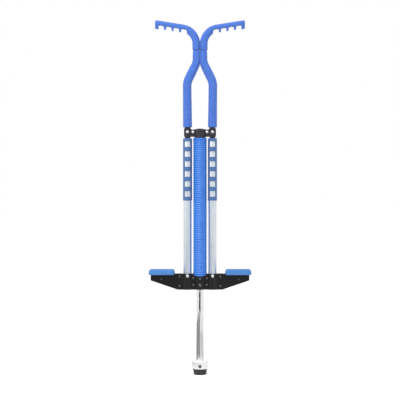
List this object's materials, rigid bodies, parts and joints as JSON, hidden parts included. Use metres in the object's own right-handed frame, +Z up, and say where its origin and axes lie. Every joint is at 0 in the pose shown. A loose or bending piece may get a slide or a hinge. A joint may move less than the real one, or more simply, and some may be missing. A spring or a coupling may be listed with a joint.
{
  "type": "pogo stick",
  "caption": "Sprung jumping stick: a chromed foot slides in an upright tube frame with side steps, under bent foam-covered handles with finger grips.",
  "frame": {"origin": "middle of the rubber tip's flat tread, with the foot fully extended", "axes": "+Z up along the piston, +X to the right along the steps and handlebars, -Y towards the front"},
  "size_m": [0.301, 0.062, 1.0394],
  "materials": {
    "blue_foam": "closed-cell foam, matt",
    "blue_gloss": "moulded, semi-gloss",
    "blue_satin": "moulded, satin",
    "pad_rubber": "moulded rubber, matt",
    "black_paint": "powder coat, satin",
    "black_plastic": "moulded, satin",
    "black_rubber": "matt",
    "satin_aluminium": "satin, drawn",
    "chrome": "mirror plated",
    "zinc_steel": "zinc plated",
    "dark_steel": "black oxide",
    "nylon": "natural nylon",
    "spring_steel": "oiled, dark"
  },
  "bodies": {
    "frame": {"rebound_buffer": "black_rubber", "lower_bushing": "nylon", "spring_housing": "zinc_steel", "upper_spring_seat": "zinc_steel", "spring": "spring_steel", "housing_cap": "black_plastic", "ribbed_sleeve": "blue_gloss", "frame_tube_left": "satin_aluminium", "window_sleeve_left": "blue_satin", "handle_socket_left": "black_plastic", "handle_tube_left": "black_paint", "handle_foam_left": "blue_foam", "finger_grip_left": "blue_foam", "step_pad_left": "pad_rubber", "footrest_bolt_left": "zinc_steel", "footrest_nut_left": "zinc_steel", "bracket_bolt_left_inner": "zinc_steel", "bracket_nut_left_inner": "zinc_steel", "bracket_bolt_left_outer": "zinc_steel", "bracket_nut_left_outer": "zinc_steel", "footrest_rivet_left_1": "dark_steel", "footrest_rivet_left_2": "dark_steel", "footrest_rivet_left_3": "dark_steel", "footrest_rivet_left_4": "dark_steel", "footrest_rivet_left_5": "dark_steel", "frame_tube_right": "satin_aluminium", "window_sleeve_right": "blue_satin", "handle_socket_right": "black_plastic", "handle_tube_right": "black_paint", "handle_foam_right": "blue_foam", "finger_grip_right": "blue_foam", "step_pad_right": "pad_rubber", "footrest_bolt_right": "zinc_steel", "footrest_nut_right": "zinc_steel", "bracket_bolt_right_inner": "zinc_steel", "bracket_nut_right_inner": "zinc_steel", "bracket_bolt_right_outer": "zinc_steel", "bracket_nut_right_outer": "zinc_steel", "footrest_rivet_right_1": "dark_steel", "footrest_rivet_right_2": "dark_steel", "footrest_rivet_right_3": "dark_steel", "footrest_rivet_right_4": "dark_steel", "footrest_rivet_right_5": "dark_steel", "footrest_plate_front": "black_paint", "bracket_plate_front": "black_paint", "footrest_plate_rear": "black_paint", "bracket_plate_rear": "black_paint", "bushing_screw_front_1": "zinc_steel", "bushing_screw_front_2": "zinc_steel", "bushing_screw_rear_1": "zinc_steel"},
    "piston": {"rubber_tip": "black_rubber", "foot_collar": "chrome", "foot_bolt": "dark_steel", "foot_nut": "dark_steel", "piston_tube": "chrome", "piston_top_guide": "nylon", "stop_collar": "zinc_steel", "stop_pin": "dark_steel"}
  },
  "joints": [
    {"name": "piston_slide", "type": "slide", "parent": "frame", "child": "piston", "axis": [0, 0, 1], "range_m": [0, 0.115], "stiffness_N_per_m": 11600, "springref_m": -0.012, "deforming": ["spring"]}
  ]
}
